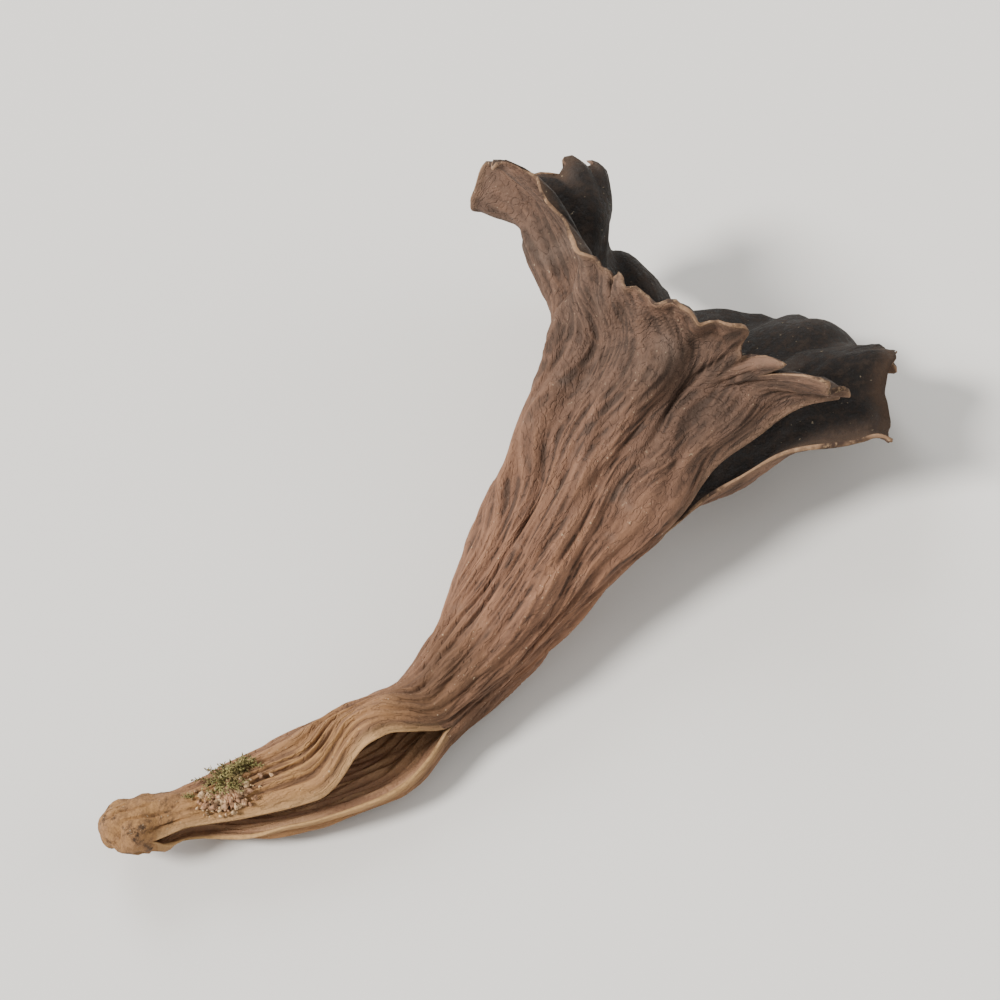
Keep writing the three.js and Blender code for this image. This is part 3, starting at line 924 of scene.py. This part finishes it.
def outside_material():
    """The ribbed outer skin, dried matt: rosy brown ribs over darker pits, tan towards the foot.

    A spot's colour runs from pit to crest by how far it stands proud: darker in the pits, folds and creases,
    which is painted shade over the skin's own mottled tone. Other browns lie over that at the lip, the stem,
    the elbow, the foot and the edges.
    """
    s = Shader("dried_ribbed_skin")
    height = s.attribute("height")
    edge = s.attribute("edge")
    fibre = s.fibres(0.16, stretch=7, detail=4, rough=0.62)
    streak = s.fibres(0.8, stretch=6, detail=3, rough=0.55)
    blotch = s.patches(3.0, detail=5, rough=0.6)
    mottle = s.patches(0.6, detail=5, rough=0.62)
    speck = s.patches(0.17, detail=2, rough=0.6)
    past_foot = s.span(height, 0.05, 0.12)
    # Hairline creases, where noise drawn out along the wall crosses its middle value
    crease = s.math("ABSOLUTE", s.minus(s.fibres(0.30, stretch=4, detail=2, rough=0.5), 0.5))
    crease = s.times(s.span(crease, 0.0, 0.055, 1.0, 0.0), past_foot)

    # How far a spot stands proud: the fine net, the broad ribs, then fibres, mottling and creases
    proud = s.times(s.minus(1.0, s.attribute("pit")), 0.62)
    proud = s.plus(proud, s.span(s.attribute("relief"), -1.3, 0.9, 0.0, 0.36))
    proud = s.plus(proud, s.times(s.times(s.minus(fibre, 0.5), 0.7), past_foot))
    proud = s.plus(proud, s.times(s.minus(mottle, 0.5), 0.38))
    proud = s.minus(proud, s.times(crease, 0.10))
    # Darker in the net's pits, the folds and the hairline creases, lighter on crests: painted shade in the
    # hollows, over the skin's own mottled tone
    colour = s.mix(s.span(proud, 0.0, 0.42), RIB_PIT, RIB_FLANK)
    colour = s.mix(s.span(proud, 0.42, 0.98), colour, RIB_CREST)
    colour = s.mix(s.span(streak, 0.50, 0.76, 0, 0.4), colour, STREAK_BROWN)

    # Towards the lip the skin is greyer and darker, and it has a grey bloom in blotches
    lip_share = s.times(s.span(height, 0.50, 0.88), s.span(blotch, 0.25, 0.62, 0.55, 0.95))
    # Near the lip the pits are darker still: painted shade in the hollows
    colour = s.mix(lip_share, colour, s.mix(s.span(proud, 0.1, 0.9), LIP_PIT, LIP_SHADE))
    colour = s.mix(s.span(blotch, 0.56, 0.76, 0, 0.22), colour, BLOOM_GREY)

    # The stem's tan side, the golden-brown strip below its slit, and the elbow, where the skin stayed dark
    tan_share = s.times(s.attribute("tan"), s.span(blotch, 0.25, 0.6, 0.5, 0.9))
    # On the tan side the pits take the darker stem brown: painted shade in the hollows
    colour = s.mix(tan_share, colour, s.mix(s.span(proud, 0.15, 0.85), STEM_SHADE, STEM_TAN))
    rust_share = s.times(s.attribute("rust"), s.span(mottle, 0.3, 0.7, 0.4, 0.8))
    colour = s.mix(rust_share, colour, STEM_RUST)
    elbow = s.times(s.span(height, 0.27, 0.34), s.span(height, 0.38, 0.47, 1.0, 0.0))
    colour = s.mix(s.times(elbow, s.span(blotch, 0.30, 0.60, 0.2, 0.75)), colour, ELBOW_BROWN)

    # The foot: a pale felt of threads, worn off in places, with soil left in its dips
    on_foot = s.span(height, 0.05, 0.11, 1.0, 0.0)
    felt = s.span(mottle, 0.36, 0.60, 0.0, 0.75)
    worn = s.span(s.patches(0.33, detail=4, rough=0.7), 0.46, 0.62, 0.0, 0.55)
    soil = s.span(s.patches(0.6, detail=6, rough=0.72), 0.50, 0.64, 0.0, 0.9)
    for share, shade in ((felt, FOOT_FELT), (worn, STEM_SHADE), (soil, SOIL_DARK)):
        colour = s.mix(s.times(on_foot, share), colour, shade)
    # The crust above it
    pale = s.span(s.plus(s.attribute("crust"), s.minus(speck, 0.5)), 0.2, 0.75, 0.0, 0.8)
    colour = s.mix(pale, colour, s.mix(s.span(mottle, 0.40, 0.60), CRUST_BROWN, CRUST_PALE))

    # Dust specks on the crests, then the thin torn edges, golden along the slit, where the gold is partly a
    # painted highlight
    dots = s.times(s.span(speck, 0.66, 0.73), s.span(proud, 0.4, 1.0, 0.05, 0.5))
    colour = s.mix(dots, colour, CRUMB_PALE)
    colour = s.mix(s.span(edge, 0.0, 0.5, 0.25, 0.0), colour, EDGE_PALE)
    at_slit = s.span(height, 0.28, 0.38, 1.0, 0.0)
    colour = s.mix(s.times(at_slit, s.span(edge, 0.0, 0.6, 0.5, 0.0)), colour, SLIT_GOLD_AND_HIGHLIGHT)

    # Bumps: threads and creases, the felt of the foot, grit, and dints of the shrunken flesh
    threads = s.times(s.fibres(0.12, stretch=5, detail=3, rough=0.6), past_foot)
    normal = s.bump(s.minus(threads, s.times(crease, 0.5)), 0.08, 0.8)
    normal = s.bump(s.times(on_foot, s.patches(0.24, detail=5, rough=0.72)), 0.22, 0.9, normal)
    normal = s.bump(s.patches(0.13, detail=3, rough=0.6), 0.04, 0.6, normal)
    normal = s.bump(s.patches(0.45, detail=4, rough=0.65), 0.14, 0.6, normal)
    return s.finish(colour, s.span(blotch, 0.3, 0.7, 0.66, 0.9), 0.25, normal)


def inside_material():
    """The inner skin, nearly black and scurfy, with a painted grey highlight on its wrinkles, and brown
    inside the stem.
    """
    s = Shader("dried_black_lining")
    scurf = s.patches(0.40, detail=5, rough=0.68)
    streak = s.fibres(0.55, stretch=5, detail=4, rough=0.6)
    patch = s.patches(3.6, detail=3, rough=0.5)
    speck = s.patches(0.26, detail=2, rough=0.6)
    colour = s.mix(s.span(scurf, 0.42, 0.66, 0, 0.9), INSIDE_BLACK, INSIDE_SCURF)
    colour = s.mix(s.span(streak, 0.5, 0.72, 0, 0.55), colour, INSIDE_DEEP)
    # On the lining, the value named pit is how high the wrinkles stand
    # Where the wrinkles stand high the lining is greyer, in patches: a painted highlight on their crests
    wrinkle_highlight = s.times(s.span(patch, 0.42, 0.68), s.span(s.attribute("pit"), 0.3, 0.9, 0.0, 0.55))
    colour = s.mix(wrinkle_highlight, colour, INSIDE_WRINKLE_HIGHLIGHT)
    colour = s.mix(s.span(s.attribute("edge"), 0.0, 1.5, 0.5, 0.0), colour, INSIDE_RIM)
    stem = s.mix(s.span(streak, 0.38, 0.66), INSIDE_STREAK, INSIDE_STEM)
    colour = s.mix(s.span(s.attribute("height"), 0.32, 0.60, 0.95, 0.0), colour, stem)
    colour = s.mix(s.span(speck, 0.70, 0.76, 0, 0.26), colour, CRUMB_PALE)
    normal = s.bump(s.patches(0.16, detail=3, rough=0.62), 0.05, 0.7)
    normal = s.bump(scurf, 0.18, 0.8, normal)
    normal = s.bump(streak, 0.16, 0.7, normal)
    return s.finish(colour, s.span(scurf, 0.35, 0.65, 0.6, 0.88), 0.22, normal)


def edge_material():
    """Broken flesh along the lip and the split: pale and dark patches, fibrous, golden along the slit with a
    painted highlight.
    """
    s = Shader("dried_broken_edge")
    patch = s.patches(1.5, detail=3, rough=0.6)
    fibre = s.patches(0.2, detail=3, rough=0.6)
    colour = s.mix(s.span(patch, 0.38, 0.62), EDGE_DARK, EDGE_PALE)
    colour = s.mix(s.span(fibre, 0.5, 0.7, 0, 0.5), colour, EDGE_BRIGHT)
    colour = s.mix(s.times(s.attribute("rust"), 0.4), colour, STEM_RUST)
    # Along the slit the edge is golden: partly the broken flesh's own colour, partly a painted highlight
    at_slit = s.span(s.attribute("height"), 0.28, 0.38, 0.75, 0.0)
    colour = s.mix(s.times(at_slit, s.span(fibre, 0.3, 0.6, 0.6, 1.0)), colour, SLIT_GOLD_AND_HIGHLIGHT)
    return s.finish(colour, 0.85, 0.2, s.bump(fibre, 0.05, 0.6))


def moss_material():
    """Dry moss: yellow-green leaflets, some of them straw, and brown in patches where it died."""
    s = Shader("dry_moss")
    patch = s.patches(0.8, detail=3, rough=0.6)
    colour = s.mix(s.span(s.attribute("fade"), 0.05, 0.70), MOSS_GREEN, MOSS_STRAW)
    colour = s.mix(s.span(patch, 0.40, 0.60, 0, 0.85), colour, MOSS_BROWN)
    normal = s.bump(s.patches(0.1, detail=2, rough=0.6), 0.03, 0.4)
    return s.finish(colour, s.span(patch, 0.3, 0.7, 0.6, 0.8), 0.3, normal)


def crumb_material():
    """Dry earth held by pale threads: cream and rose crumbs, brown in patches."""
    s = Shader("dry_earth_crumbs")
    patch = s.patches(0.35, detail=4, rough=0.65)
    grit = s.patches(0.09, detail=3, rough=0.65)
    colour = s.mix(s.span(s.attribute("fade"), 0.2, 0.8), CRUMB_CREAM, CRUMB_ROSE)
    colour = s.mix(s.span(patch, 0.42, 0.60, 0, 0.85), colour, CRUMB_EARTH)
    return s.finish(colour, s.span(grit, 0.3, 0.7, 0.75, 0.95), 0.2, s.bump(grit, 0.04, 0.7))


mushroom = build_mushroom()
for made in (outside_material(), inside_material(), edge_material()):
    mushroom.data.materials.append(made)
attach(mushroom, "root")
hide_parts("mushroom")

moss = build_moss()
moss.data.materials.append(moss_material())
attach(moss, "root")

crumbs = build_crumbs()
crumbs.data.materials.append(crumb_material())
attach(crumbs, "root")


def add_floor():
    """A wide level sheet of matt paper: a disc of 8 m radius in rings, each three times the last."""
    rings, sides = 5, 96
    radius = 100.0 * 3.0 ** np.arange(rings)[:, None]
    a = np.arange(sides) / sides * TAU
    circles = np.stack([radius * np.cos(a), radius * np.sin(a), np.zeros((rings, sides))], -1)
    points = np.concatenate([np.zeros((1, 3)), circles.reshape(-1, 3)])
    ids = 1 + np.arange(rings * sides).reshape(rings, sides)
    after = np.roll(ids, -1, axis=1)
    quads = np.stack([ids[:-1], ids[1:], after[1:], after[:-1]], -1).reshape(-1, 4)
    middle = np.stack([np.zeros(sides, int), ids[0], after[0]], 1)
    floor = add_mesh("floor", points, [quads, middle])
    floor.data.materials.append(Shader("pale_paper").finish(linear(FLOOR_PALE), 0.9))


def add_light(name, source, spread_degrees, strength, colour):
    """A far soft lamp that shines from the direction of source. A wider spread makes softer shadows."""
    lamp = bpy.data.lights.new(name, "SUN")
    lamp.angle = math.radians(spread_degrees)
    lamp.energy = strength
    lamp.color = colour
    holder = bpy.data.objects.new(name, lamp)
    bpy.context.scene.collection.objects.link(holder)
    holder.location = Vector(source) * MM
    holder.rotation_euler = Vector(source).to_track_quat("Z", "Y").to_euler()


def add_sky(colour, strength):
    """Even light from all round."""
    world = bpy.data.worlds.new("studio")
    world.use_nodes = True
    background = world.node_tree.nodes["Background"]
    background.inputs["Color"].default_value = linear(colour)
    background.inputs["Strength"].default_value = strength
    bpy.context.scene.world = world


def add_camera(azimuth, elevation, lens, distance_mm, aim_mm):
    """A camera that looks at a point from a distance. Azimuth 0 is the front, and azimuth 90 the right."""
    cam = bpy.data.cameras.new("camera")
    cam.lens = lens
    cam.clip_start = 0.005
    holder = bpy.data.objects.new("camera", cam)
    bpy.context.scene.collection.objects.link(holder)
    a, e = math.radians(azimuth), math.radians(elevation)
    back = Vector((math.sin(a) * math.cos(e), -math.cos(a) * math.cos(e), math.sin(e)))
    holder.location = Vector(aim_mm) * MM + back * distance_mm * MM
    holder.rotation_euler = (-back).to_track_quat("-Z", "Y").to_euler()
    bpy.context.scene.camera = holder


add_floor()
add_light("key", (-620, 260, 560), spread_degrees=16, strength=5.8, colour=(1.0, 0.97, 0.93))
add_light("fill", (630, -480, 360), spread_degrees=45, strength=1.0, colour=(1.0, 0.99, 0.97))
add_light("back", (180, 660, 480), spread_degrees=30, strength=1.6, colour=(1.0, 1.0, 1.0))
add_sky(SKY_WHITE, strength=0.7)
add_camera(azimuth=-41, elevation=54, lens=90, distance_mm=121, aim_mm=(1.3, -1.0, 4.5))
bpy.context.scene.view_settings.view_transform = "AgX"
